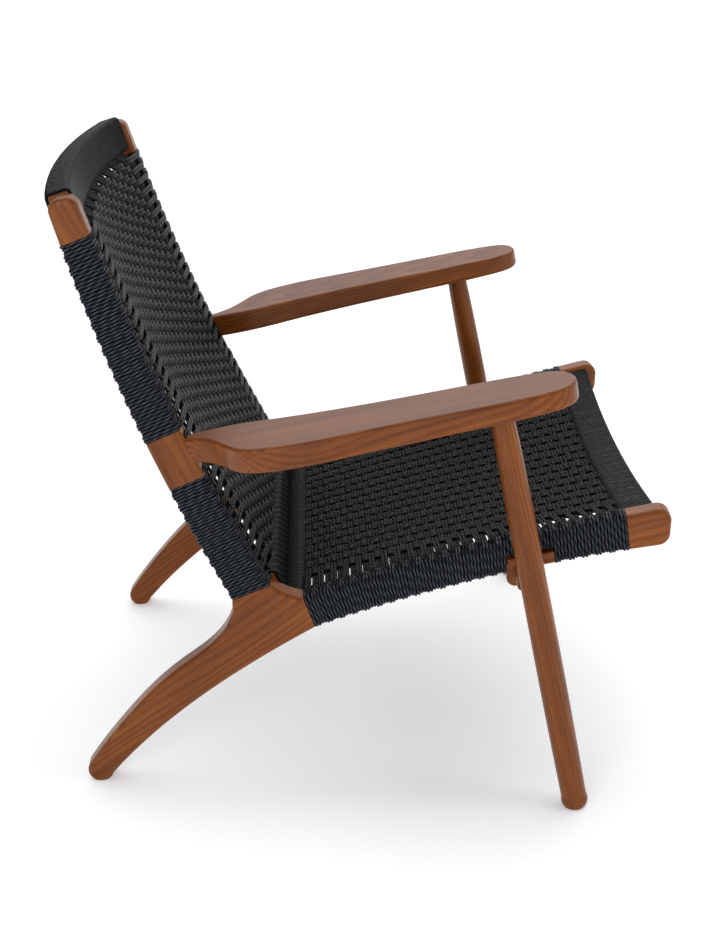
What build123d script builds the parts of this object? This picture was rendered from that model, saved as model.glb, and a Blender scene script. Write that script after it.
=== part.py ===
from build123d import *
import math
import os

# Woven easy chair. Millimetres, +Z up, the sitter faces -Y, left is +X.
# The origin is on the floor, under the middle of the chair.
# Side outlines are (y, z) points; the right half is the left half mirrored in X.

# ---- boards and cord
BOARD = 28               # thickness of leg, stile and side rail
CORD = 4                 # one layer of wound cord
EDGE = 5.5               # rounding of the bare wood
REAR_HALF = 256          # outer face of stile and rear leg
FRONT_HALF = 283         # outer face of the side rail at its nose
RAIL_LENGTH = 424        # from the start of the splay to the nose
SPLAY_Y = 62             # where the side rail starts to splay
WIDE = 60                # reach of a cutting block past an outline

# ---- stile: two long arcs, cut by cross lines given as (back point, front point)
STILE_BACK = ((141, 227), (265, 497), (340, 727))
STILE_FRONT = ((96, 246), (191, 434), (307, 733))
STILE_TOP_ROUND = 14
LINE_SHOULDER = ((152, 247), (106, 266))
LINE_BLOCK_LOW = ((219, 390), (179, 407))
LINE_BLOCK_HIGH = ((243, 447), (203, 464))
LINE_TOP = ((329, 676), (296, 689))
LINE_ABOVE_TOP = ((360, 780), (300, 790))

# ---- rear leg, with stubs that run on into the stile and the side rail
LEG_TOP_CURVE = ((152, 230), (167, 201), (219, 156), (297, 74), (334, 23))
LEG_LOW_CURVE = ((53, 209), (124, 165), (233, 83), (306, 9))
LEG_TIP = (327, -1.2)
CROTCH = ((106, 266), (87, 255), (67.5, 248.5))
LINE_RAIL_END = ((67.5, 248.5), (53, 209))
STILE_STUB = Vector(14, 29)
RAIL_STUB = Vector(-36, 14)
LINE_PAST_SHOULDER = ((180, 300), (120, 320))
LINE_PAST_RAIL_END = ((20, 290), (-10, 190))
LINE_INSIDE_LEG = ((120, 225), (106, 189))

# ---- side rail, in (distance to the front, z)
RAIL_TOP = ((-22, 243), (183, 311), (424, 373))
RAIL_LOW = ((-10, 202), (192, 273), (423, 325.5))
NOSE_ROUND = 15
RAIL_START = -60             # well behind the rear end of the winding
RAIL_BARE = (230, 285)       # stretch that is left bare beside the front leg
RAIL_WRAP_END = ((371, 361), (377, 320))
LINE_PAST_NOSE = ((450, 400), (450, 290))
RAIL_CROSS = ((-6, 400), (12, 250))   # a cross line of the rail, square to its slope
SLOT_Z = 301.5               # underside of the slot at its rear end
SLOT_RISE = 0.226
SLOT_HEIGHT = 10

# ---- armrest, in its own tilted plane: x, and distance from the stile
ARM_BACK_Y = 193.6
ARM_BACK_Z = 453
ARM_TILT = 11
ARM_THICK_BACK = 31
ARM_THICK_FRONT = 23
ARM_LENGTH = 440
ARM_OUTER = (
    (256, 24), (257, -2), (278, -27), (318, -56),
    (336, -104), (337, -200), (335, -330), (331, -400),
)
ARM_INNER = (
    (236, 24), (236, -2), (233, -30), (233, -58),
    (239, -104), (248, -200), (251, -330), (255, -400),
)
ARM_TIP = ((321, -428), (293, -440), (266, -430))
ARM_EDGE = 4

# ---- front leg: (share of its height, radius) along its own line
FRONT_LEG_FOOT = (324, -260, 0)
FRONT_LEG_HEAD = (306.6, -155.8, 497)
FRONT_LEG_RADII = ((0.03, 15.2), (0.3, 16), (0.6, 15.7), (0.85, 15), (1, 13))
FOOT_FLAT_RADIUS = 7
FOOT_REACH = 4               # runs this far past the floor before it is cut level
FOOT_BULGE = (13.2, 1)
LEG_TENON_RADIUS = 9
LEG_TENON_LENGTH = 13

# ---- cross rail under the seat, and the spigots that carry it into the front legs
CROSS_Y = (-209, -172.5)
CROSS_Z = (270, 298)
CROSS_ROUND = 10
SPIGOT_Y = (-205, -181)
SPIGOT_Z = (281, 296)
SPIGOT_ROOT = 40             # how far it starts inside the rail
SPIGOT_REACH = 306
SPIGOT_ROUND = 5
SPIGOT_TENON = 6
SPIGOT_TENON_LENGTH = 68

# ---- wound cross members: (y, z) of the middle, depth, height, tilt, middle bow in y and z
FRONT_RAIL = dict(y=-329, z=347, depth=44, height=30, tilt=-12, bow_y=4, bow_z=-13, half=262)
REAR_RAIL = dict(y=75, z=231, depth=26, height=32, tilt=-16, bow_y=0, bow_z=0, half=232)
TOP_RAIL = dict(y=322, z=711, depth=32, height=48, tilt=-17, bow_y=19, bow_z=0, half=232)
BOTTOM_RAIL = dict(y=106, z=256, depth=26, height=34, tilt=-25, bow_y=0, bow_z=0, half=232)
MEMBER_ROUND = 7
TENON = 11                # how far a cross member's tenon enters the side board
TENON_ROOT = 8            # how far it runs back inside the member
TENON_DEPTH = 8
TENON_HEIGHT = 12

# ---- woven panels: (y, z, dish) of each cross section of the front face
PANEL = 8                 # two layers of cord
PANEL_GAP = 0.3           # to the side boards
SEAT_SECTIONS = ((96, 242, 4), (-110, 305, 10), (-306, 355, 13))
BACK_SECTIONS = ((104, 277, 4), (193, 457, 12), (287, 684, 18))

# ---- dowels: middle of each joint as (y, z), direction as an angle above +Y, offset of the pair
DOWEL_RADIUS = 4
DOWEL_SHIFT = 2           # out of the middle of the board, clear of the tenons
DOWEL_LENGTH = 36
ARM_DOWELS = dict(y=196, z=433, angle=169, spread=0)
SHOULDER_DOWELS = dict(y=129, z=256.5, angle=67, spread=9)
RAIL_DOWELS = dict(y=60, z=227, angle=159, spread=8)

SPLAY = math.degrees(math.asin((FRONT_HALF - REAR_HALF) / RAIL_LENGTH))
SPLAY_SIN, SPLAY_COS = math.sin(math.radians(SPLAY)), math.cos(math.radians(SPLAY))
RAIL_PLANE = Plane(
    origin=(REAR_HALF, SPLAY_Y, 0),
    x_dir=(SPLAY_SIN, -SPLAY_COS, 0),
    z_dir=(-SPLAY_COS, -SPLAY_SIN, 0),
)
SIDE_PLANE = Plane(origin=(REAR_HALF - BOARD, 0, 0), x_dir=(0, 1, 0), z_dir=(1, 0, 0))
ARM_PLANE = Plane(
    origin=(0, ARM_BACK_Y, ARM_BACK_Z), x_dir=(1, 0, 0),
    z_dir=(0, math.sin(math.radians(ARM_TILT)), math.cos(math.radians(ARM_TILT))),
)
FLOOR = Pos(0, 0, -WIDE / 2) * Box(1000, 1000, WIDE)


def mirrored(part):
    return mirror(part, about=Plane.YZ)


def largest(part):
    """The one real piece of a cut, without its slivers."""
    return Part() + part.solids().sort_by(SortBy.VOLUME)[-1]


def board(face, plane):
    """A board of the side frame, with rounded edges."""
    plate = extrude(plane * face, BOARD)
    flat = [f for f in plate.faces() if abs(f.normal_at().dot(plane.z_dir)) > 0.999]
    return fillet(ShapeList(edge for f in flat for edge in f.edges()), EDGE)


def wound_core(face, plane):
    """The square-edged wood under a winding, one cord smaller all round than the board."""
    return extrude(plane.offset(CORD) * offset(face, -CORD), BOARD - 2 * CORD)


def cutter(face, plane):
    """A face run right through a side board."""
    return extrude(plane.offset(-WIDE) * face, BOARD + 2 * WIDE)


def between(line_a, line_b, plane):
    """A block that keeps what lies between two cross lines of an outline."""
    def stretched(line):
        a, b = Vector(*line[0]), Vector(*line[1])
        reach = (a - b).normalized() * WIDE
        return a + reach, b - reach
    a1, b1 = stretched(line_a)
    a2, b2 = stretched(line_b)
    return cutter(make_face(Polyline(a1, b1, b2, a2, close=True)), plane)


def rail_line(distance):
    """A cross line of the side rail at a distance from its rear end."""
    return tuple((distance + ahead, z) for ahead, z in RAIL_CROSS)


def stile_face():
    arcs = [ThreePointArc(*STILE_BACK), ThreePointArc(*STILE_FRONT)]
    ends = [Line(STILE_BACK[2], STILE_FRONT[2]), Line(STILE_FRONT[0], STILE_BACK[0])]
    face = make_face(Curve() + arcs + ends)
    return fillet(face.vertices().sort_by(Axis.Y)[-2:], STILE_TOP_ROUND)


def leg_face():
    s_back, s_front = (Vector(*p) for p in LINE_SHOULDER)
    r_top, r_low = (Vector(*p) for p in LINE_RAIL_END)
    return make_face(Curve() + [
        ThreePointArc(*CROTCH),
        Polyline(r_top, r_top + RAIL_STUB, r_low + RAIL_STUB, r_low),
        Spline(*LEG_LOW_CURVE),
        ThreePointArc(LEG_LOW_CURVE[-1], LEG_TIP, LEG_TOP_CURVE[-1]),
        Spline(*reversed(LEG_TOP_CURVE)),
        Polyline(LEG_TOP_CURVE[0], s_back, s_back + STILE_STUB, s_front + STILE_STUB, s_front),
    ])


def rail_face():
    arcs = [ThreePointArc(*RAIL_TOP), ThreePointArc(*RAIL_LOW)]
    ends = [Line(RAIL_TOP[2], RAIL_LOW[2]), Line(RAIL_TOP[0], RAIL_LOW[0])]
    face = make_face(Curve() + arcs + ends)
    return fillet(face.vertices().sort_by(Axis.X)[-2:], NOSE_ROUND)


def slot_block(low, high):
    """A sloping strip of the side rail between two heights above the slot's underside."""
    start, end = RAIL_BARE[0] - WIDE, RAIL_BARE[1] + WIDE
    z_start, z_end = (SLOT_Z + (distance - RAIL_BARE[0]) * SLOT_RISE for distance in (start, end))
    return cutter(make_face(Polyline(
        (start, z_start + low), (end, z_end + low), (end, z_end + high), (start, z_start + high),
        close=True)), RAIL_PLANE)


def make_stile():
    """The stile, its wound stretches one cord thinner, and the windings themselves."""
    full, thin = board(stile_face(), SIDE_PLANE), wound_core(stile_face(), SIDE_PLANE)
    lower = between(LINE_SHOULDER, LINE_BLOCK_LOW, SIDE_PLANE)
    block = between(LINE_BLOCK_LOW, LINE_BLOCK_HIGH, SIDE_PLANE)
    upper = between(LINE_BLOCK_HIGH, LINE_TOP, SIDE_PLANE)
    top = between(LINE_TOP, LINE_ABOVE_TOP, SIDE_PLANE)
    wood = (full & (block + top)) + (thin & (lower + upper))
    skin = full - thin
    return full, wood, {"upper": skin & upper, "lower": skin & lower}


def make_rear_leg():
    stile_stub = between(LINE_SHOULDER, LINE_PAST_SHOULDER, SIDE_PLANE)
    rail_stub = between(LINE_RAIL_END, LINE_PAST_RAIL_END, SIDE_PLANE)
    return board(leg_face(), SIDE_PLANE) - stile_stub - rail_stub - FLOOR


def make_side_rail():
    """The side rail with its bare, slotted stretch, and the windings around it."""
    full, thin = board(rail_face(), RAIL_PLANE), wound_core(rail_face(), RAIL_PLANE)
    inside_leg = between(LINE_RAIL_END, LINE_INSIDE_LEG, SIDE_PLANE)
    bare_start, bare_end = (rail_line(distance) for distance in RAIL_BARE)
    rear = between(rail_line(RAIL_START), bare_start, RAIL_PLANE) - inside_leg
    slot = between(bare_start, bare_end, RAIL_PLANE)
    front = between(bare_end, RAIL_WRAP_END, RAIL_PLANE)
    nose = between(RAIL_WRAP_END, LINE_PAST_NOSE, RAIL_PLANE)
    above_slot = thin - slot_block(-WIDE, SLOT_HEIGHT)
    bare = (full & nose) + (full & slot & slot_block(-WIDE, 0))
    wood = (thin & (rear + front)) + bare + (above_slot & slot)
    skin = full - thin
    slot_skin = full - slot_block(-WIDE, SLOT_HEIGHT - CORD) - above_slot
    return full, wood, {"rear": skin & rear, "front": skin & front, "slot": slot_skin & slot}


def make_front_leg():
    """The turned leg, cut level at the floor, and the round tenon at its head."""
    foot, head = Vector(*FRONT_LEG_FOOT), Vector(*FRONT_LEG_HEAD)
    length = (head - foot).length
    plane = Plane(origin=foot, x_dir=(0, 1, 0), z_dir=head - foot)
    points = [(radius, share * length) for share, radius in FRONT_LEG_RADII]
    profile = Curve() + [
        Line((0, -FOOT_REACH), (FOOT_FLAT_RADIUS, -FOOT_REACH)),
        ThreePointArc((FOOT_FLAT_RADIUS, -FOOT_REACH), FOOT_BULGE, points[0]),
        Spline(*points),
        Polyline(points[-1], (0, length), (0, -FOOT_REACH)),
    ]
    turned = revolve(Plane.XZ * make_face(profile), Axis.Z)
    peg = Pos(0, 0, length + LEG_TENON_LENGTH / 2) * Cylinder(LEG_TENON_RADIUS, LEG_TENON_LENGTH + 2)
    return plane.location * turned - FLOOR, plane.location * peg


def make_armrest(stile):
    """A flat board that thins towards its round front end and is coped onto the stile."""
    outline = Spline(*ARM_OUTER, *ARM_TIP, *reversed(ARM_INNER))
    face = make_face(outline + Line(ARM_INNER[0], ARM_OUTER[0]))
    block = ARM_PLANE.location * extrude(face, -ARM_THICK_BACK - ARM_EDGE)
    taper = math.degrees(math.atan((ARM_THICK_BACK - ARM_THICK_FRONT) / ARM_LENGTH))
    below = Box(1000, 1200, 200, align=(Align.CENTER, Align.CENTER, Align.MAX))
    block -= ARM_PLANE.location * Pos(0, 0, -ARM_THICK_BACK) * Rot(-taper, 0, 0) * below
    block -= stile
    return fillet(block.edges().sort_by(SortBy.LENGTH)[-2:], ARM_EDGE)


def make_cross_rail(front_leg):
    """The rail under the seat, its ends flush with the side rails, and its two spigots."""
    bar = Pos(0, sum(CROSS_Y) / 2, sum(CROSS_Z) / 2) * Box(
        2 * FRONT_HALF, CROSS_Y[1] - CROSS_Y[0], CROSS_Z[1] - CROSS_Z[0])
    bar = fillet(bar.edges().filter_by(Axis.X).sort_by(Axis.Z)[:2], CROSS_ROUND)
    beside_rail = extrude(RAIL_PLANE.offset(-2 * WIDE) * Pos(200, 300) * Rectangle(900, 600), 2 * WIDE)
    bar = bar - beside_rail - mirrored(beside_rail)
    middle_y, middle_z = sum(SPIGOT_Y) / 2, sum(SPIGOT_Z) / 2
    root = FRONT_HALF - SPIGOT_ROOT
    spigot = Pos(root, middle_y, middle_z) * Box(
        SPIGOT_REACH - root, SPIGOT_Y[1] - SPIGOT_Y[0], SPIGOT_Z[1] - SPIGOT_Z[0],
        align=(Align.MIN, Align.CENTER, Align.CENTER))
    spigot = fillet(spigot.edges().filter_by(Axis.X), SPIGOT_ROUND) - front_leg
    spigot += Pos(FRONT_HALF, middle_y, middle_z) * Rot(0, 90, 0) * Cylinder(
        SPIGOT_TENON, SPIGOT_TENON_LENGTH)
    return bar + spigot + mirrored(spigot)


def swept_bar(y, z, depth, height, tilt, bow_y, bow_z, half, inset=0):
    """A cross member, bowed in the middle, from side to side."""
    section = RectangleRounded(depth - 2 * inset, height - 2 * inset, MEMBER_ROUND - inset)
    start = Plane(origin=(-half, y, z), x_dir=(0, 1, 0), z_dir=(1, 0, 0)) * Rot(0, 0, tilt) * section
    if bow_y == 0 and bow_z == 0:
        return extrude(start, 2 * half)
    return sweep(start, path=ThreePointArc((-half, y, z), (0, y + bow_y, z + bow_z), (half, y, z)))


def make_member(bar, boards, inner_half):
    """The wood of a cross member with its two tenons, and its winding."""
    outer = largest(swept_bar(**bar) - boards)
    wood = swept_bar(**bar, inset=CORD) & outer
    winding = outer - wood
    for side in (1, -1):
        middle = side * (inner_half + (TENON - TENON_ROOT) / 2)
        tenon = Box(TENON + TENON_ROOT, TENON_DEPTH, TENON_HEIGHT)
        wood += Pos(middle, bar["y"], bar["z"]) * Rot(bar["tilt"], 0, 0) * tenon
    return wood, winding - wood


def dished_panel(sections, half_width):
    """A woven panel, from side board to side board, that sinks in the middle."""
    faces = []
    for index, (y, z, dish) in enumerate(sections):
        ahead = sections[min(index + 1, len(sections) - 1)]
        behind = sections[max(index - 1, 0)]
        run = Vector(0, ahead[0] - behind[0], ahead[1] - behind[1]).normalized()
        side = Vector(1, 0, 0)
        inward = run.cross(side) if run.cross(side).Z < 0 else side.cross(run)
        plane = Plane(origin=(0, y, z), x_dir=side, z_dir=run)
        dip = inward.dot(plane.y_dir) * dish
        thick = inward.dot(plane.y_dir) * PANEL
        half = half_width(y)
        top = ThreePointArc((-half, 0), (0, dip), (half, 0))
        low = ThreePointArc((-half, thick), (0, dip + thick), (half, thick))
        sides = [Line((-half, 0), (-half, thick)), Line((half, 0), (half, thick))]
        faces.append(plane * make_face(Curve() + [top, low] + sides))
    return loft(faces)


def beside_side_rail(y):
    """Half the width between the two side rails at a depth y."""
    rail = REAR_HALF - BOARD * SPLAY_COS + (SPLAY_Y - BOARD * SPLAY_SIN - y) * SPLAY_SIN / SPLAY_COS
    return min(rail, REAR_HALF - BOARD) - PANEL_GAP if y > SPLAY_Y else rail - PANEL_GAP


def beside_stile(y):
    return REAR_HALF - BOARD - PANEL_GAP


def dowels(y, z, angle, spread):
    """One dowel across a joint of the side frame, or a pair set apart by twice the spread."""
    place = Pos(REAR_HALF - BOARD / 2 + DOWEL_SHIFT, y, z) * Rot(angle, 0, 0)
    pin = Cylinder(DOWEL_RADIUS, DOWEL_LENGTH, rotation=(-90, 0, 0))
    offsets = (-spread, spread) if spread else (0,)
    return Part() + [place * Pos(0, 0, shift) * pin for shift in offsets]


# ---- side frames
stile_full, back_stile, stile_wraps = make_stile()
rear_leg = make_rear_leg()
rail_full, seat_side_rail, rail_wraps = make_side_rail()
leg_turned, leg_peg = make_front_leg()
armrest = make_armrest(stile_full)
front_leg = (leg_turned - armrest) + leg_peg
armrest -= front_leg
front_cross_rail = make_cross_rail(front_leg)
front_leg -= front_cross_rail
seat_side_rail -= front_cross_rail
rail_wraps = {name: wrap - front_cross_rail for name, wrap in rail_wraps.items()}

# ---- cross members
side_frame = stile_full + rear_leg
members, member_wraps = {}, {}
for name, bar, boards, inner_half in (
    ("seat_front_rail", FRONT_RAIL, rail_full, FRONT_HALF - BOARD),
    ("seat_rear_rail", REAR_RAIL, side_frame, REAR_HALF - BOARD),
    ("back_top_rail", TOP_RAIL, side_frame, REAR_HALF - BOARD),
    ("back_bottom_rail", BOTTOM_RAIL, side_frame, REAR_HALF - BOARD),
):
    members[name], member_wraps[name] = make_member(bar, boards + mirrored(boards), inner_half)

seat_side_rail -= members["seat_front_rail"]
back_stile = back_stile - members["back_top_rail"] - members["back_bottom_rail"]
rear_leg = rear_leg - members["seat_rear_rail"] - members["back_bottom_rail"]
stile_wraps = {name: wrap - members["back_bottom_rail"] for name, wrap in stile_wraps.items()}

# ---- woven panels
seat_weave = dished_panel(SEAT_SECTIONS, beside_side_rail)
back_weave = dished_panel(BACK_SECTIONS, beside_stile)
for wrap, member in zip(member_wraps.values(), members.values()):
    seat_weave = seat_weave - wrap - member
    back_weave = back_weave - wrap - member
seat_weave, back_weave = largest(seat_weave), largest(back_weave)

# ---- dowels
arm_dowels, shoulder_dowels, rail_dowels = (
    dowels(**place) for place in (ARM_DOWELS, SHOULDER_DOWELS, RAIL_DOWELS))
armrest -= arm_dowels
back_stile = back_stile - arm_dowels - shoulder_dowels
rear_leg = rear_leg - shoulder_dowels - rail_dowels
seat_side_rail -= rail_dowels

# ---- nodes
pairs = {
    "rear_leg": rear_leg,
    "back_stile": back_stile,
    "seat_side_rail": seat_side_rail,
    "armrest": armrest,
    "front_leg": front_leg,
    "arm_dowel": arm_dowels,
    "shoulder_dowels": shoulder_dowels,
    "rail_dowels": rail_dowels,
    "stile_wrap_upper": stile_wraps["upper"],
    "stile_wrap_lower": stile_wraps["lower"],
    "side_rail_wrap_rear": rail_wraps["rear"],
    "side_rail_wrap_slot": rail_wraps["slot"],
    "side_rail_wrap_front": rail_wraps["front"],
}
nodes = {"front_cross_rail": front_cross_rail, "seat_weave": seat_weave, "back_weave": back_weave}
for name, wood in members.items():
    nodes[name] = wood
    nodes[name + "_wrap"] = member_wraps[name]
for name, part in pairs.items():
    nodes[name + "_left"] = part
    nodes[name + "_right"] = mirrored(part)

whole = Compound(children=[Compound(part.solids()) for part in nodes.values()]).bounding_box()
to_middle = Pos(0, -whole.center().Y, 0)
print("size", whole.size, "moved by", to_middle.position.Y)
os.makedirs("parts", exist_ok=True)
for name, part in nodes.items():
    print(name, len(part.solids()), round(part.volume), part.is_valid)
    export_step(to_middle * part, os.path.join("parts", name + ".step"))
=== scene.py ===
# %% [markdown]
# # A low wooden easy chair, wound and woven with dark cord
#
# The frame of this chair is already exact: boards, turned legs and rails come from the packed
# model and are only given a finish. What is missing is the cord. Every rail is wound with it,
# turn beside turn, and the seat and the back are a plain weave of the same cord. In this lesson
# the plain sleeves and slabs of the frame are replaced by real turns and real crossings.

# %% Load the frame
import math

import bpy
import numpy as np
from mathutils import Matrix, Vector


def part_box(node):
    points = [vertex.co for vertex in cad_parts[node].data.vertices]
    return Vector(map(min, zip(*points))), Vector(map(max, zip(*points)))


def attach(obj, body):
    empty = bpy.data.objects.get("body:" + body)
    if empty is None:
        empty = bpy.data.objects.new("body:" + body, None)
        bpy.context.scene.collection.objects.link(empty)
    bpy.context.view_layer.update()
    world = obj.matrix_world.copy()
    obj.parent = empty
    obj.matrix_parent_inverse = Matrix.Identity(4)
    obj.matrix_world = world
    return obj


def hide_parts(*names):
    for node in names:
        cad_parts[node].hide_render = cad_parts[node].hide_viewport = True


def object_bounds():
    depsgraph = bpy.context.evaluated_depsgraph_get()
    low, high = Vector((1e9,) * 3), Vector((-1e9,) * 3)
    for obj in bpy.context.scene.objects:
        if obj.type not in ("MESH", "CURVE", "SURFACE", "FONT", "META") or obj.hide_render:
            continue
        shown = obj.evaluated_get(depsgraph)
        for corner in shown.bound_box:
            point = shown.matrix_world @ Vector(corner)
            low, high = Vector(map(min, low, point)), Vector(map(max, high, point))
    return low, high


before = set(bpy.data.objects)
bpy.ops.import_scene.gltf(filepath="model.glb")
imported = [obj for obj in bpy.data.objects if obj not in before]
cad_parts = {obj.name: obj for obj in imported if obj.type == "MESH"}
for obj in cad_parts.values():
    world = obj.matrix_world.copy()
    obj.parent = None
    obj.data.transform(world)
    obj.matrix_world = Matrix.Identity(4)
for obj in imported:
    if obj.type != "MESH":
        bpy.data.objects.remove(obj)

cad_box = [list(corner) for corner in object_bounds()]
bpy.ops.object.select_all(action="DESELECT")
print("frame box", cad_box)

# %% [markdown]
# ## Camera
#
# The chair is seen from its right-hand side, from about eye height of a seated person, two
# metres away. A long-ish lens keeps the boards nearly parallel. The direction is worked out from
# a yaw and a pitch, and the camera's own -Z axis is turned to it.

# %% Camera
CAMERA_PLACE = Vector((-1.9466, 0.0473, 1.0951))
CAMERA_YAW = math.radians(-1.6)
CAMERA_PITCH = math.radians(-21.75)
LENS_MM = 61.41

bpy.ops.object.camera_add(location=CAMERA_PLACE)
camera = bpy.context.object
direction = Vector((
    math.cos(CAMERA_YAW) * math.cos(CAMERA_PITCH),
    math.sin(CAMERA_YAW) * math.cos(CAMERA_PITCH),
    math.sin(CAMERA_PITCH),
))
camera.rotation_euler = direction.to_track_quat("-Z", "Y").to_euler()
camera.data.lens = LENS_MM
camera.data.clip_end = 100
bpy.context.scene.camera = camera
print("camera looks along", tuple(round(part, 3) for part in direction))

# %% [markdown]
# ## Floor and light
#
# A very large pale floor fills the view, and a nearly white band of sky above it keeps the horizon
# faint in lower views. The wood is dark and glossy, and a bright room on every side would lay a
# white haze over it. So the rest of the room is dim, and a wide soft sun, high on the far side,
# lights the floor and draws the pale sheen on the upward faces. A cool lamp on the near side
# gives the dark cord its blue sheen, and one in front of the chair draws the edges of the boards.

# %% Floor and light
FLOOR_SIZE = 60
FLOOR_GLOW = 0.25                # a backlit floor, so the shadows stay light
FLOOR_TONES = [(0.3, (0.965, 0.965, 0.965)), (0.7, (0.98, 0.98, 0.98))]
ROOM_COLOR = (0.95, 0.97, 1.0, 1)
ROOM_STRENGTH = 0.4
HORIZON_STRENGTH = 1.0
HORIZON_BAND = (0.1, 0.25)       # where, from level 0 to overhead 1, the pale band fades
SUN_TILT = math.radians(32)      # off the vertical, towards the far side
SUN_SPREAD = math.radians(80)
SUN_STRENGTH = 1.9
LAMPS = {
    "near_side": dict(place=(-2.6, 0.9, 1.3), size=1.2, power=20, color=(0.80, 0.89, 1.0)),
    "front": dict(place=(-0.9, -2.6, 1.5), size=1.2, power=14, color=(1.0, 0.97, 0.93)),
}


def soft_lamp(name, place, size, power, color):
    """A square lamp that faces the middle of the chair."""
    bpy.ops.object.light_add(type="AREA", location=place)
    lamp = bpy.context.object
    lamp.name = name + "_lamp"
    lamp.data.size = size
    lamp.data.energy = power
    lamp.data.color = color
    middle = Vector((0, 0, (cad_box[0][2] + cad_box[1][2]) / 2))
    lamp.rotation_euler = (middle - Vector(place)).to_track_quat("-Z", "Y").to_euler()


for name, facts in LAMPS.items():
    soft_lamp(name, **facts)

bpy.ops.object.light_add(type="SUN", rotation=(0, SUN_TILT, 0))
sun = bpy.context.object
sun.data.angle = SUN_SPREAD
sun.data.energy = SUN_STRENGTH

world = bpy.data.worlds.new("pale_room")
world.use_nodes = True
room_tree = world.node_tree
room = room_tree.nodes["Background"]
room.inputs["Color"].default_value = ROOM_COLOR
sky = room_tree.nodes.new("ShaderNodeTexCoord")
upward = room_tree.nodes.new("ShaderNodeSeparateXYZ")
dimmer = room_tree.nodes.new("ShaderNodeMapRange")
room_tree.links.new(sky.outputs["Generated"], upward.inputs[0])
room_tree.links.new(upward.outputs["Z"], dimmer.inputs["Value"])
room_tree.links.new(dimmer.outputs["Result"], room.inputs["Strength"])
fade = (*HORIZON_BAND, HORIZON_STRENGTH, ROOM_STRENGTH)
for key, value in zip(("From Min", "From Max", "To Min", "To Max"), fade):
    dimmer.inputs[key].default_value = value
bpy.context.scene.world = world
bpy.context.scene.view_settings.view_transform = "Standard"

bpy.ops.mesh.primitive_plane_add(size=FLOOR_SIZE)
floor = bpy.context.object
floor.name = "floor"

# %% [markdown]
# ## Writing materials as sums
#
# A material is a network of nodes, but its maths reads best as a formula. The class below holds
# one output socket and overloads the arithmetic signs, so that `1 - mask * 0.5` adds its two Math
# nodes by itself. Every other kind of node comes from one method, `node`.

# %% Shader maths
OBJECT = 3                       # the number of the Object output of a coordinate node


class Value:
    """One socket of a material, or a number, that can be written in a formula."""

    def __init__(self, tree, socket):
        self.tree, self.socket = tree, socket

    def maths(self, operation, *values):
        node = self.tree.nodes.new("ShaderNodeMath")
        node.operation = operation
        for slot, value in zip(node.inputs, values):
            put(self.tree, slot, value)
        return Value(self.tree, node.outputs[0])

    def sibling(self, name):
        """Another output of the node this one comes from."""
        return Value(self.tree, self.socket.node.outputs[name])

    def __add__(self, other):
        return self.maths("ADD", self, other)

    def __sub__(self, other):
        return self.maths("SUBTRACT", self, other)

    def __rsub__(self, other):
        return self.maths("SUBTRACT", other, self)

    def __mul__(self, other):
        return self.maths("MULTIPLY", self, other)

    def __truediv__(self, other):
        return self.maths("DIVIDE", self, other)

    def __pow__(self, other):
        return self.maths("POWER", self, other)

    __radd__, __rmul__ = __add__, __mul__


def put(tree, slot, value):
    """Links a socket to a slot, or sets the slot to a number or a colour."""
    if isinstance(value, Value):
        tree.links.new(value.socket, slot)
    else:
        slot.default_value = value


class Finish:
    """A new material with its shader, and a way to add any node to it."""

    def __init__(self, name, constants):
        self.material = bpy.data.materials.new(name)
        self.material.use_nodes = True
        self.tree = self.material.node_tree
        self.shader = self.tree.nodes["Principled BSDF"]
        for key, value in constants.items():
            self.shader.inputs[key].default_value = value

    def node(self, kind, settings=None, output=0, **sockets):
        """Any node: its settings first, then the values or links of its sockets.

        A socket goes by its name, or by its number behind a low line, as in _6.
        """
        node = self.tree.nodes.new("ShaderNode" + kind)
        for key, value in (settings or {}).items():
            setattr(node, key, value)
        for key, value in sockets.items():
            which = int(key[1:]) if key[1:].isdigit() else key.replace("_", " ")
            put(self.tree, node.inputs[which], value)
        return Value(self.tree, node.outputs[output])

    def ramp(self, factor, stops):
        """A colour ramp from (place, colour) stops."""
        ramp = self.node("ValToRGB", Fac=factor)
        elements = ramp.socket.node.color_ramp.elements
        while len(elements) < len(stops):
            elements.new(0.5)
        for element, (place, color) in zip(elements, stops):
            element.position = place
            element.color = (*color, 1)
        return ramp

    def mix(self, factor, one, two):
        """A blend of two colours. Its three slots are numbered 0, 6 and 7."""
        settings = {"data_type": "RGBA"}
        return self.node("Mix", settings, output=2, _0=factor, _6=one, _7=two)

    def smooth_step(self, value, low, high):
        """0 up to low, 1 from high on, and a soft curve between them."""
        settings = {"interpolation_type": "SMOOTHSTEP"}
        return self.node("MapRange", settings, Value=value, _1=low, _2=high)

    def feed(self, **sockets):
        """Sends values to sockets of the shader."""
        for key, value in sockets.items():
            put(self.tree, self.shader.inputs[key.replace("_", " ").title()], value)

    def relief(self, height, strength, distance):
        """Sends a height to the shader's Normal."""
        self.feed(normal=self.node("Bump", Height=height, Strength=strength, Distance=distance))


def give(piece, finish):
    """A piece wears one finish all over."""
    piece.data.materials.clear()
    piece.data.materials.append(finish.material)


pale_floor = Finish("pale_floor", {
    "Roughness": 0.9, "Emission Color": (1, 1, 1, 1), "Emission Strength": FLOOR_GLOW,
})
grey = pale_floor.node("TexNoise", Vector=pale_floor.node("TexCoord", output=OBJECT), Scale=3.0)
pale_floor.feed(base_color=pale_floor.ramp(grey, FLOOR_TONES))
give(floor, pale_floor)

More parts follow.
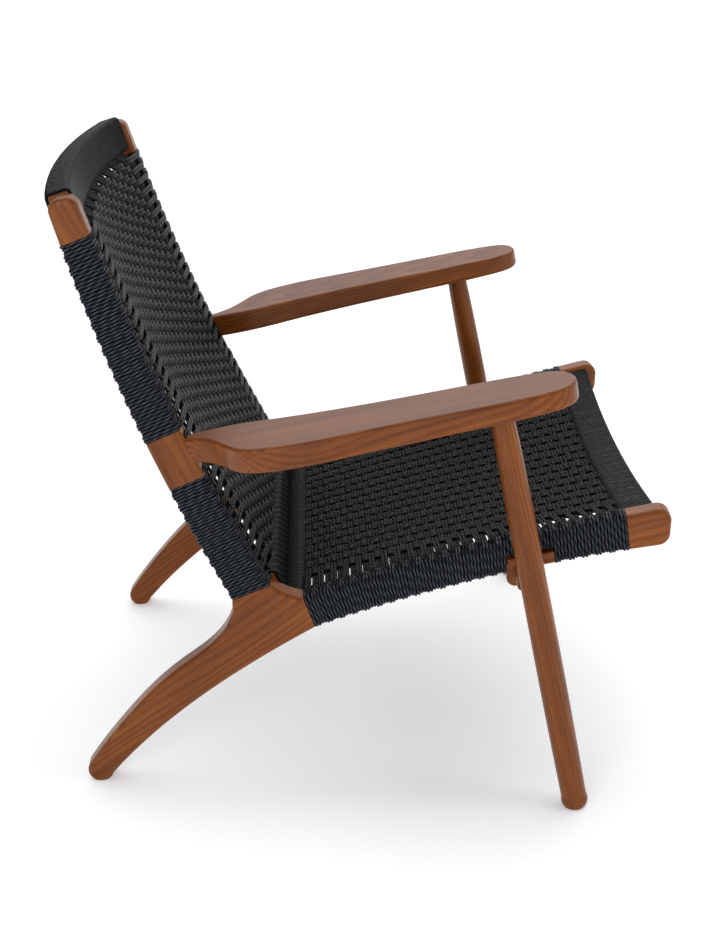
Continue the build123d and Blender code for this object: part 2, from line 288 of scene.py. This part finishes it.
# %% [markdown]
# ## Oiled hardwood
#
# Wood is a stack of growth rings that the saw has cut open. The rings are distances from the
# tree's heart, which runs along the grain: so the pattern is turned until its X axis lies along
# the board, the distance from a far-off line is bent by slow noise, and its fraction gives the
# bands. Long thin noise adds the fibres and the dark open pores. One recipe serves every board.
# Only the grain's direction, the heart's place, the tone and the depth of the rings differ.

# %% Wood finish
RING_WIDTH = 0.004
RING_WANDER = 6                  # how many rings the slow noise may push the pattern by
LATE_WOOD_RISE = (0.25, 0.9)     # a ring darkens slowly over this part of its width
LATE_WOOD_FALL = (0.0, 0.12)     # and pales quickly again, counted back from its edge
WANDER_SCALE = (2.2, 14, 14)     # scales of noise along the grain, and twice across it
FIBRE_SCALE = (7, 420, 420)
STREAK_SCALE = (3, 60, 60)
PORE_LENGTH = 0.010
PORE_WIDTH = 0.0004
PORE_SCALE = (1 / PORE_LENGTH, 1 / PORE_WIDTH, 1 / PORE_WIDTH)
PORE_LEVELS = (0.62, 0.72)       # the noise counts as a pore above these
WOOD_DARK = (0.075, 0.017, 0.002)
WOOD_MIDDLE = (0.185, 0.046, 0.004)
WOOD_LIGHT = (0.35, 0.112, 0.014)
PORE_COLOR = (0.045, 0.013, 0.003, 1)
WOOD_IOR = 1.28                  # a thin oil film: little shine face on, much at a low angle


def wood(name, along, heart=(0.06, 0.05), tone=1.0, ring_depth=0.2):
    """Oiled wood whose grain runs along a direction, its heart off to the side by two offsets."""
    finish = Finish(name, {"IOR": WOOD_IOR, "Coat Roughness": 0.18, "Coat IOR": WOOD_IOR})
    turn = Vector(along).rotation_difference(Vector((1, 0, 0))).to_euler()
    place = finish.node("TexCoord", output=OBJECT)
    board = finish.node("Mapping", Vector=place, Rotation=turn)

    def grain_noise(stretch, scale, detail):
        stretched = finish.node("Mapping", Vector=board, Scale=stretch)
        return finish.node("TexNoise", Vector=stretched, Scale=scale, Detail=detail)

    wander = grain_noise(WANDER_SCALE, 1.0, 2.0)
    apart = finish.node("SeparateXYZ", Vector=board)
    far = ((apart.sibling("Y") - heart[0]) ** 2 + (apart.sibling("Z") - heart[1]) ** 2) ** 0.5
    rings = far / RING_WIDTH + wander * RING_WANDER
    band = rings.maths("FRACT", rings)
    rise = finish.smooth_step(band, *LATE_WOOD_RISE)
    late_wood = rise * finish.smooth_step(1 - band, *LATE_WOOD_FALL)
    fibres = grain_noise(FIBRE_SCALE, 1.0, 3.0)
    streaks = grain_noise(STREAK_SCALE, 1.0, 2.0)
    pore_noise = grain_noise(PORE_SCALE, 0.55, 1.0)
    pores = finish.smooth_step(pore_noise, *PORE_LEVELS) * (0.4 + late_wood * 0.6)
    patches = finish.node("TexNoise", Vector=board, Scale=9.0, Detail=2.0)
    shade = 0.55 + (fibres - 0.5) * 0.5 + (streaks - 0.5) * 0.6 + (patches - 0.5) * 0.4
    colors = [[part * tone for part in color] for color in (WOOD_DARK, WOOD_MIDDLE, WOOD_LIGHT)]
    stain = finish.ramp(shade - late_wood * ring_depth, list(zip((0.0, 0.5, 1.0), colors)))
    finish.feed(
        base_color=finish.mix(pores * 0.55, stain, PORE_COLOR),
        roughness=0.34 + fibres * 0.12 + pores * 0.2,
        coat_weight=0.3 - pores * 0.2,
    )
    finish.relief(fibres * 0.25 - pores - late_wood * 0.15, 0.2, 0.0003)
    return finish


def lean(node, rises_forward):
    """The direction from the low end of a board's box to its high end, seen from the side."""
    low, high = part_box(node)
    depth = high.y - low.y
    return Vector((0, -depth if rises_forward else depth, high.z - low.z)).normalized()


WOODS = {
    "rear_leg": wood("rear_leg_wood", (0, 1, -0.75), heart=(0.05, 0.09)),
    "back_stile": wood("stile_wood", lean("back_stile_left", False), heart=(0.09, 0.12)),
    "seat_side_rail": wood(
        "side_rail_wood", lean("seat_side_rail_left", True), heart=(0.02, 0.03), tone=1.1),
    "armrest": wood("armrest_wood", lean("armrest_left", True), heart=(0.31, 0.03), ring_depth=0.25),
    "front_leg": wood("front_leg_wood", lean("front_leg_left", False), heart=(0.34, 0.02)),
    "cross": wood("cross_rail_wood", (1, 0, 0), heart=(0.2, 0.3)),
    "dowel": wood("dowel_wood", (0, 1, 0), tone=1.6),
}
# The sleeves and slabs get a wood too, but cord takes their place further on.
for name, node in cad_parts.items():
    family = next((key for key in WOODS if name.startswith(key)), "cross")
    give(node, WOODS["dowel" if "dowel" in name else family])
print("wood finishes", len(WOODS))

# %% [markdown]
# ## A cord
#
# All of the cord is one kind: three strands of paper twisted together, four millimetres thick. A
# tube with six sides looks round once it is shaded smooth, and thousands of crossings stay light.
# Each ring of the tube is set square to the path. A side direction that is handed in, rather
# than guessed, keeps the tube from turning about itself. Its UV map counts twists along the cord
# and goes once round it, for the finish to draw the strands with.

# %% Cord tube
CORD = 0.004
CORD_SIDES = 6
STRANDS = 3
TWIST_LENGTH = 0.013             # along the cord, from a strand to the next


class CordMesh:
    """Collects tubes of cord, then makes them one piece."""

    def __init__(self):
        self.points, self.faces, self.twists, self.crests = [], [], [], []
        self.count = 0

    def add(self, path, side, phase=0.0, radius=CORD / 2, height=None):
        """A tube with closed ends along a path. side is the direction its first corner faces.

        phase is where its twist starts, since no two cords start alike.
        height is how far each point of the path lies above the middle of a weave. A winding
        has none: there the crest is where the tube faces out or in, square to its side.
        """
        path = np.asarray(path, float)
        side = np.broadcast_to(np.asarray(side, float), path.shape)
        tangent = np.gradient(path, axis=0)
        tangent /= np.linalg.norm(tangent, axis=1, keepdims=True)
        side = side - tangent * np.sum(side * tangent, axis=1, keepdims=True)
        side /= np.linalg.norm(side, axis=1, keepdims=True)
        up = np.cross(tangent, side)
        angles = np.arange(CORD_SIDES) * 2 * math.pi / CORD_SIDES
        rings = (
            path[:, None]
            + radius * np.cos(angles)[None, :, None] * side[:, None]
            + radius * np.sin(angles)[None, :, None] * up[:, None]
        )
        steps = np.linalg.norm(np.diff(path, axis=0), axis=1)
        along = phase + np.concatenate([[0], np.cumsum(steps)]) / TWIST_LENGTH
        number = len(path)
        first = self.count + np.arange(number - 1)[:, None] * CORD_SIDES
        here = np.arange(CORD_SIDES)
        after = (here + 1) % CORD_SIDES
        corners = [first + here, first + after, first + CORD_SIDES + after, first + CORD_SIDES + here]
        quads = np.stack(corners, axis=-1)
        self.faces += [tuple(quad) for quad in quads.reshape(-1, 4).tolist()]
        u = np.stack([along[:-1], along[:-1], along[1:], along[1:]], axis=-1)[:, None, :]
        v = np.stack([here, here + 1, here + 1, here], axis=-1)[None] / CORD_SIDES
        u, v = np.broadcast_arrays(u, v)
        self.twists.append(np.stack([u, v], axis=-1).reshape(-1, 2))
        last = self.count + (number - 1) * CORD_SIDES
        self.faces += [tuple((self.count + here[::-1]).tolist()), tuple((last + here).tolist())]
        ends = np.zeros((2 * CORD_SIDES, 2))
        ends[CORD_SIDES:, 0] = along[-1]
        self.twists.append(ends)
        self.points.append(rings.reshape(-1, 3))
        # The crest later sets the painted shade of the finish: black hollows, lighter crests.
        if height is None:
            crest = np.broadcast_to(np.abs(np.sin(angles)), (number, CORD_SIDES))
        else:
            crest = np.abs(np.asarray(height)[:, None] + radius * np.sin(angles)) / CORD
        self.crests.append(crest.ravel())
        self.count += number * CORD_SIDES

    def piece(self, name, finish, *nodes):
        """The finished piece, riding on the frame in place of some of its nodes."""
        mesh = bpy.data.meshes.new(name)
        mesh.from_pydata(np.concatenate(self.points).tolist(), [], self.faces)
        layer = mesh.uv_layers.new(name="cord")
        layer.data.foreach_set("uv", np.concatenate(self.twists).astype(np.float32).ravel())
        crest = mesh.attributes.new("crest", "FLOAT", "POINT")
        crest.data.foreach_set("value", np.concatenate(self.crests).astype(np.float32))
        mesh.polygons.foreach_set("use_smooth", [True] * len(mesh.polygons))
        mesh.update()
        piece = bpy.data.objects.new(name, mesh)
        bpy.context.scene.collection.objects.link(piece)
        give(piece, finish)
        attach(piece, "root")
        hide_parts(*nodes)
        print(name, sum(len(face) - 2 for face in self.faces), "triangles")
        return piece


# %% [markdown]
# ## The cord's finish
#
# Dyed paper cord is nearly black, with a soft waxy shine on each strand and a groove between
# strands that is darkened with painted shade. The groove's place is read from the cord's own UV
# map: three times round the cord, plus the number of twists along it. The hollows between cords
# are painted black as shade, and the crests lighter, as if lit. So each point of the tubes also
# carries its crest: how far out it stands.
# The cord is browner where it is woven, bluer on the side rails and stiles, and plain on the
# cross rails. The blue is a painted reflection of the cool near-side lamp.

# %% Cord finish
CREST_RANGE = (0.35, 1.0)        # painted shade: black hollow to lit crest


def cord_finish(name, deep, pale, shine):
    """Dyed cord, with painted shade: deep in its hollows, pale on its crests, with shine on them."""
    finish = Finish(name, {"Specular IOR Level": 0.14, "Coat Roughness": 0.35})
    along = finish.node("SeparateXYZ", Vector=finish.node("UVMap", {"uv_map": "cord"}))
    twist = along + along.sibling("Y") * STRANDS
    strand = twist.maths("SINE", twist.maths("FRACT", twist) * math.pi)
    place = finish.node("TexCoord", output=OBJECT)
    dye = finish.node("TexNoise", Vector=place, Scale=55.0, Detail=3.0)
    fibres = finish.node("TexNoise", Vector=place, Scale=900.0, Detail=2.0)
    crest = finish.node("Attribute", {"attribute_name": "crest"}, output=2)
    # Painted shade and light: dark in the grooves and hollows, lighter on the crests of the strands.
    painted_crest_light = finish.smooth_step(crest, *CREST_RANGE) * (strand ** 1.5)
    shade = painted_crest_light * (0.55 + dye * 0.6) + fibres * 0.1
    finish.feed(
        base_color=finish.ramp(shade, [(0.1, deep), (0.9, pale)]),
        roughness=0.6 - strand * 0.15 + (fibres - 0.5) * 0.2,
        coat_weight=painted_crest_light * shine,
    )
    finish.relief(strand ** 0.6 + fibres * 0.2, 1.0, 0.001)
    return finish


woven = cord_finish("woven_cord", (0.0015, 0.0015, 0.0012), (0.030, 0.029, 0.022), 0.04)
# The blue of the wound cord is a painted reflection of the cool light, not a dye.
wound = cord_finish("wound_cord_blue_sheen", (0.0015, 0.0017, 0.0022), (0.042, 0.048, 0.066), 0.2)
banded = cord_finish("banded_cord", (0.0015, 0.0015, 0.0015), (0.020, 0.020, 0.021), 0.03)

# %% [markdown]
# ## Windings
#
# The frame holds each winding as a plain sleeve, one cord thick. A plane laid across the sleeve
# cuts it in a rounded rectangle, and that is the way a turn of cord goes. The sleeve's two end
# faces tell where the first and the last plane lie, and those between are spread evenly. On each
# plane the outermost point in twelve directions is found, three at each corner, and moved in by
# half a cord. The turns are joined into one long cord that steps on at the hidden inner side.

# %% Winding a sleeve
TURN_DIRECTIONS = np.radians(np.arange(12) * 30 + 15)
WOUND_RADIUS = CORD * 0.52       # turns press into each other a little
WOBBLE = 0.00012                 # turns don't lie perfectly side by side
RIPPLE = (0.0016, 0.0016, 0, 0)  # two turns of every four stand out, on the panel's two sides
END_FACING = 0.9                 # an end face looks along its sleeve at least this squarely
SIDES = {"left": 1, "right": -1}
# How far a cross rail's turns stand out fore and aft. The two rails in the crease nearly meet.
SWELLING = {
    "seat_front_rail": 0,
    "seat_rear_rail": 0.0013,
    "back_top_rail": 0,
    "back_bottom_rail": 0.0013,
}
rng = np.random.default_rng(7)


def mesh_arrays(node):
    """The points and the edges of a node of the frame."""
    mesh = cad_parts[node].data
    points = np.array([vertex.co for vertex in mesh.vertices])
    edges = np.array([tuple(edge.vertices) for edge in mesh.edges])
    return points, edges


def end_planes(node, axis):
    """The middle and direction of a sleeve's two end faces, as found along an axis."""
    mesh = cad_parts[node].data
    axis = Vector(axis).normalized()
    planes = []
    for sign in (-1, 1):
        faces = [f for f in mesh.polygons if f.normal.dot(axis) * sign > END_FACING]
        area = sum(face.area for face in faces)
        middle = sum((face.center * face.area for face in faces), Vector()) / area
        normal = sum((face.normal * face.area * sign for face in faces), Vector()).normalized()
        planes.append((np.array(middle), np.array(normal)))
    return planes


def turn_loop(points, edges, middle, normal, across, ripple):
    """Twelve points of the turn that a plane cuts out of a sleeve.

    The first lies towards across. ripple pushes the turn out square to that, both ways.
    """
    above = (points - middle) @ normal
    a, b = edges[:, 0], edges[:, 1]
    crossing = above[a] * above[b] < 0
    a, b = a[crossing], b[crossing]
    share = (above[a] / (above[a] - above[b]))[:, None]
    cut = points[a] + share * (points[b] - points[a])
    u = across - normal * (across @ normal)
    u /= np.linalg.norm(u)
    v = np.cross(normal, u)
    loop = []
    for angle in TURN_DIRECTIONS:
        outward = u * math.cos(angle) + v * math.sin(angle)
        farthest = cut[np.argmax(cut @ outward)]
        loop.append(farthest - outward * CORD / 2 + v * math.sin(angle) * ripple)
    return np.array(loop)


def winding(node, axis, across, finish, ripple=(0,)):
    """Winds a sleeve with cord and returns its turns, as loops of twelve points.

    The loops start on the side that across points to, and the step to the next turn lies there.
    """
    points, edges = mesh_arrays(node)
    (first, first_normal), (last, last_normal) = end_planes(node, axis)
    turns = max(2, round(np.linalg.norm(last - first) / CORD))
    across = np.asarray(across, float)
    loops = []
    for number in range(turns):
        share = (number + 0.5) / turns
        normal = first_normal * (1 - share) + last_normal * share
        normal /= np.linalg.norm(normal)
        middle = first * (1 - share) + last * share
        loops.append(turn_loop(points, edges, middle, normal, across, ripple[number % len(ripple)]))
    loops = np.array(loops)
    step = (last - first) / turns
    wobble = rng.normal(0, WOBBLE, (turns, 1, 1)) * step / np.linalg.norm(step)
    path = (loops + wobble).reshape(-1, 3)
    cord = CordMesh()
    cord.add(path, step / np.linalg.norm(step), rng.random(), WOUND_RADIUS)
    cord.piece(node.replace("wrap", "winding"), finish, node)
    return loops


def from_to(one, other):
    """The direction from the middle of one node's box to another's."""
    return (sum(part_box(other), Vector()) - sum(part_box(one), Vector())).normalized()


def side_winding(member, stretches, side):
    """Winds the stretches of a side rail or a stile, and returns all of their turns.

    Each turn starts on the inner face, where the step to the next one is out of sight.
    """
    sleeves = [f"{member}_wrap_{stretch}_{side}" for stretch in stretches]
    along = from_to(sleeves[0], sleeves[-1])
    inward = (-SIDES[side], 0, 0)
    return np.concatenate([winding(sleeve, along, inward, wound, RIPPLE) for sleeve in sleeves])


rail_turns, stile_turns = {}, {}
for side in SIDES:
    rail_turns[side] = side_winding("side_rail", ("rear", "slot", "front"), side)
    stile_turns[side] = side_winding("stile", ("lower", "upper"), side)
member_turns = {
    rail: winding(rail + "_wrap", (1, 0, 0), (0, 0, -1), banded, (swelling,))
    for rail, swelling in SWELLING.items()
}
print("turns", {rail: len(turns) for rail, turns in member_turns.items()})

# %% [markdown]
# ## The woven panels
#
# Seat and back are the same plain weave. Groups of four cords are stretched lengthwise between
# two rails, and pairs of cords go across, over one group and under the next. The frame's slab
# tells where the panel lies: a low-order surface is fitted to its upper face, so any point across
# and along the panel can be asked for, with the direction that stands square on it. A cross pair
# then needs only three points for each group it passes, and a lengthwise cord three for each row.

# %% A surface through the slab
LINE_POINTS = 200
LINE_X = 0.12                    # lengths are measured on a line this far from the middle
OUTER_FACING = 0.5               # a face belongs to the outer side if it looks that way this much
NUDGE = 0.001                    # a step small enough to measure a slope with
ROW = 0.008                      # a pair of cross cords, two cords wide


class Panel:
    """The middle surface of a woven panel, fitted to the outer face of a slab of the frame."""

    def __init__(self, node, facing, run_axis, start, end):
        points = mesh_arrays(node)[0]
        facing = Vector(facing)
        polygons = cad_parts[node].data.polygons
        outer = {v for f in polygons if f.normal.dot(facing) > OUTER_FACING for v in f.vertices}
        outer = points[sorted(outer)]
        self.run_axis = run_axis                 # 1 where the panel runs along Y, 2 along Z
        self.rise_axis = 3 - run_axis
        self.facing = np.array(facing)
        terms = self.terms(outer[:, 0], outer[:, run_axis])
        self.weights = np.linalg.lstsq(terms, outer[:, self.rise_axis], rcond=None)[0]
        line = np.linspace(start, end, LINE_POINTS)
        middle = self.raw(np.full(LINE_POINTS, LINE_X), line)
        steps = np.linalg.norm(np.diff(middle, axis=0), axis=1)
        self.lengths = np.concatenate([[0], np.cumsum(steps)])
        self.line = line
        self.length = self.lengths[-1]
        self.rows = round(self.length / ROW)
        self.row_middles = (np.arange(self.rows) + 0.5) * self.length / self.rows

    @staticmethod
    def terms(x, run):
        """The terms of the surface. Only even powers of x, as both halves are alike."""
        one = np.ones_like(x)
        return np.stack([one, run, run ** 2, x ** 2, x ** 2 * run, x ** 2 * run ** 2], axis=-1)

    def raw(self, x, run):
        """Points of the fitted surface, by their coordinates across and along."""
        out = np.zeros((len(x), 3))
        out[:, 0] = x
        out[:, self.run_axis] = run
        out[:, self.rise_axis] = self.terms(x, run) @ self.weights
        return out

    def along(self, distance):
        """The run coordinate at a distance along the panel, which may pass its ends a little."""
        slope = (self.line[-1] - self.line[0]) / self.length
        inside = np.interp(distance, self.lengths, self.line)
        before = np.minimum(distance, 0) * slope
        beyond = np.maximum(distance - self.length, 0) * slope
        return inside + before + beyond

    def at(self, x, distance, lift):
        """Points of the weave: across, along, and above its middle surface."""
        x, distance, lift = np.broadcast_arrays(*(np.asarray(v, float) for v in (x, distance, lift)))
        run = self.along(distance)
        base = self.raw(x, run)
        du = self.raw(x + NUDGE, run) - base
        dv = self.raw(x, run + NUDGE) - base
        normal = np.cross(du, dv)
        normal /= np.linalg.norm(normal, axis=1, keepdims=True)
        normal *= np.sign(normal @ self.facing)[:, None]
        return base + normal * (lift - CORD)[:, None]     # the slab's face is one cord up

    def run_direction(self):
        """The direction from the panel's start to its end."""
        ends = self.at([0.0, 0.0], [0.0, self.length], [0.0, 0.0])
        return (ends[1] - ends[0]) / np.linalg.norm(ends[1] - ends[0])


# %% [markdown]
# The cross pairs that pass over the outermost group come off the top of the side windings, and
# those between come up from underneath. That leaves the row of small dark gaps beside each side
# rail. Each end runs through two lines along the corners of the turns, read at its own place.
# Behind the gaps the cord also runs from nail to nail, down the inner face of each rail, and a
# flat band of cord under each gap stands in for the shade seen through it. The lengthwise groups
# fan out to an even spacing where they reach their rails.

# %% Weaving
GROUPS = 8                       # groups on each side of the middle one
GROUP_CORDS = 4
PAIR_CORDS = 2
# Runs from nail to nail beside a side rail, in cords away from it and down: three on its inner
# face, and a flat band under the gap, a dark sheet that stands in for the shade seen through it.
SIDE_RUNS_AND_SHADE_BAND = [(1, 0), (1, 1), (1, 2)] + [(across, 2.2) for across in range(2, 8)]
END_RUNS = 4                     # runs down the inner face of a cross rail
NAIL_OFFSET = 0.009              # how far they lie from the panel's end
NAIL_REACH = 0.03                # how far they go past the middle of the outermost group
SPACING = 0.004                  # cross cords side by side
GROUP_SPACING = 0.0043           # lengthwise cords side by side
CROSS_RADIUS = CORD * 0.56       # cross cords are a little thicker, so they close up
LIFT = CORD / 2
CROWN = 0.0002                   # a float is a little higher in its middle
FLOAT_SHORT = 0.002              # how far a cross float's shoulders stand back from its ends
ROW_SHOULDER = 0.0024            # from a row's middle to a lengthwise float's shoulders
CORNER_SLANT = 0.5               # how much the upper corners of a side winding face sideways
FACE_SLANT = 0.2                 # how much the place where a cord comes up faces upwards
UNEVEN = 0.0002                  # how unevenly the hand laid the cords
OVER_WINDING = 0.003             # how far an end rises over the turns it leaves


def extreme(loops, direction):
    """The point of each turn that lies farthest in a direction."""
    return loops[np.arange(len(loops)), np.argmax(loops @ np.asarray(direction, float), axis=1)]


def corner_line(loops, direction, axis):
    """The line that joins the turns' outermost points, in order along an axis."""
    corners = extreme(loops, direction)
    return corners[np.argsort(corners[:, axis])]


def point_on(line, axis, value):
    """The point of a line at a place along an axis."""
    return np.array([np.interp(value, line[:, axis], line[:, part]) for part in range(3)])


def is_over(row, group):
    """True where a cross pair passes over a lengthwise group."""
    return (row + group) % 2 == 0


def float_points(middle, shoulder, sign):
    """Three places along a float, and how high it lies there: above (1) or below (-1)."""
    heights = [sign * LIFT, sign * (LIFT + CROWN), sign * LIFT]
    return [middle - shoulder, middle, middle + shoulder], heights


def side_ends(panel, loops, sign, up, over):
    """The two lines that a cross pair's end runs through, the outer one first."""
    inward = np.array([-sign, 0, 0])
    if over:
        outer = corner_line(loops, up - inward * CORNER_SLANT, panel.run_axis)
        inner = corner_line(loops, up + inward * CORNER_SLANT, panel.run_axis) + up * OVER_WINDING
    else:
        outer = corner_line(loops, inward - up, panel.run_axis)
        inner = corner_line(loops, inward + up * FACE_SLANT, panel.run_axis)
    return outer, inner


def weave_across(panel, pitch, side_loops, up, name, node):
    """The cross pairs of a panel, with their ends on the side windings."""
    cord = CordMesh()
    side_direction = panel.run_direction()
    up = np.asarray(up, float)
    axis = panel.run_axis
    half = GROUP_CORDS * GROUP_SPACING / 2 - FLOAT_SHORT
    ends = {
        (sign, over): side_ends(panel, side_loops[side], sign, up, over)
        for side, sign in SIDES.items() for over in (True, False)
    }
    for row, middle in enumerate(panel.row_middles):
        over = is_over(row, GROUPS)
        for number in range(PAIR_CORDS):
            distance = middle + (number - 0.5) * SPACING + rng.normal(0, UNEVEN)
            spots, lifts = [], []
            for group in range(-GROUPS, GROUPS + 1):
                sign = 1 if is_over(row, group) else -1
                places, heights = float_points(group * pitch(middle), half, sign)
                spots += places
                lifts += heights
            field = panel.at(spots, distance, np.array(lifts) + rng.normal(0, UNEVEN / 2))
            right = [point_on(line, axis, field[0][axis]) for line in ends[-1, over]]
            left = [point_on(line, axis, field[-1][axis]) for line in ends[1, over]]
            path = np.concatenate([right, field, left[::-1]])
            end_height = LIFT if over else -LIFT
            height = [end_height] * len(right) + lifts + [end_height] * len(left)
            cord.add(path, side_direction, rng.random(), CROSS_RADIUS, height)
    for side, sign in SIDES.items():
        inner_face = corner_line(side_loops[side], (-sign, 0, 0), axis)
        distances = np.linspace(0, panel.length, panel.rows)
        rail_x = np.array([point_on(inner_face, axis, place)[0] for place in panel.along(distances)])
        for across, down in SIDE_RUNS_AND_SHADE_BAND:
            run = panel.at(rail_x - sign * across * CORD, distances, -LIFT - down * CORD)
            cord.add(run, (1, 0, 0), rng.random(), height=np.zeros(len(run)))
    cord.piece(name, woven, node)


def weave_along(panel, pitch, start_lines, end_lines, name, node):
    """The lengthwise groups of a panel, from the turns of one rail to those of the other."""
    cord = CordMesh()
    for group in range(-GROUPS, GROUPS + 1):
        for number in range(GROUP_CORDS):
            place = number - (GROUP_CORDS - 1) / 2
            offset = place * GROUP_SPACING + rng.normal(0, UNEVEN / 2)
            distances, lifts = [], []
            for row, middle in enumerate(panel.row_middles):
                sign = -1 if is_over(row, group) else 1
                places, heights = float_points(middle, ROW_SHOULDER, sign)
                distances += places
                lifts += heights
            distances = np.array(distances)
            spots = group * pitch(distances) + offset
            field = panel.at(spots, distances, np.array(lifts))
            first, last = (pitch(end) * (group + place / GROUP_CORDS) for end in (0.0, panel.length))
            start = [point_on(line, 0, first) for line in start_lines]
            end = [point_on(line, 0, last) for line in end_lines]
            path = np.concatenate([start, field, end[::-1]])
            height = [LIFT] * len(start) + lifts + [LIFT] * len(end)
            cord.add(path, (1, 0, 0), rng.random(), height=height)
    for end, inward in ((0, 1), (panel.length, -1)):
        reach = GROUPS * pitch(float(end)) + NAIL_REACH
        x = np.linspace(-reach, reach, panel.rows)
        for level in range(END_RUNS):
            run = panel.at(x, end + inward * NAIL_OFFSET, -LIFT - (level + 0.5) * CORD)
            cord.add(run, panel.run_direction(), rng.random(), height=np.zeros(len(run)))
    cord.piece(name, woven, node)


def rail_lines(rail, *directions):
    """Lines along a cross rail's turns, one for each direction they face."""
    return [corner_line(member_turns[rail], direction, 0) for direction in directions]


# %% [markdown]
# ## Seat
#
# The seat fans out towards the front, because its side rails are splayed, so the groups stand a
# little farther apart there. It starts in the crease at the rear rail and ends at the smooth
# band of cord around the front rail.

# %% Seat
RAIL_OVERLAP = 0.006             # a panel reaches this far into its rails, so no gap shows
SEAT_PITCH_REAR = 0.0232         # from one lengthwise group to the next
SEAT_PITCH_FRONT = 0.0262
seat_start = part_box("seat_rear_rail_wrap")[0].y + RAIL_OVERLAP
seat_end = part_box("seat_front_rail_wrap")[1].y - RAIL_OVERLAP
seat = Panel("seat_weave", (0, 0, 1), 1, seat_start, seat_end)


def seat_pitch(distance):
    return SEAT_PITCH_REAR + (SEAT_PITCH_FRONT - SEAT_PITCH_REAR) * distance / seat.length


weave_across(seat, seat_pitch, rail_turns, (0, 0, 1), "seat_cross_cords", "seat_weave")
weave_along(
    seat, seat_pitch,
    rail_lines("seat_rear_rail", (0, 0.5, 1), (0, -0.5, 1)),
    rail_lines("seat_front_rail", (0, -0.5, 1), (0, 0.5, 1)),
    "seat_long_cords", "seat_weave")
print("seat rows", seat.rows, "over", round(seat.length, 3), "m")

# %% [markdown]
# ## Back
#
# The back has parallel sides, so its groups keep one distance. It is dished more than the seat,
# because the top rail bows backwards.

# %% Back
BACK_PITCH = 0.0232
back_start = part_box("back_bottom_rail_wrap")[1].z - RAIL_OVERLAP
back_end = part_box("back_top_rail_wrap")[0].z + RAIL_OVERLAP
back = Panel("back_weave", (0, -1, 0), 2, back_start, back_end)


def back_pitch(distance):
    return np.full(np.shape(distance), BACK_PITCH)


weave_across(back, back_pitch, stile_turns, (0, -1, 0), "back_cross_cords", "back_weave")
weave_along(
    back, back_pitch,
    rail_lines("back_bottom_rail", (0, -1, -0.5), (0, -1, 0.5)),
    rail_lines("back_top_rail", (0, -1, 0.5), (0, -1, -0.5)),
    "back_long_cords", "back_weave")
print("back rows", back.rows, "over", round(back.length, 3), "m")
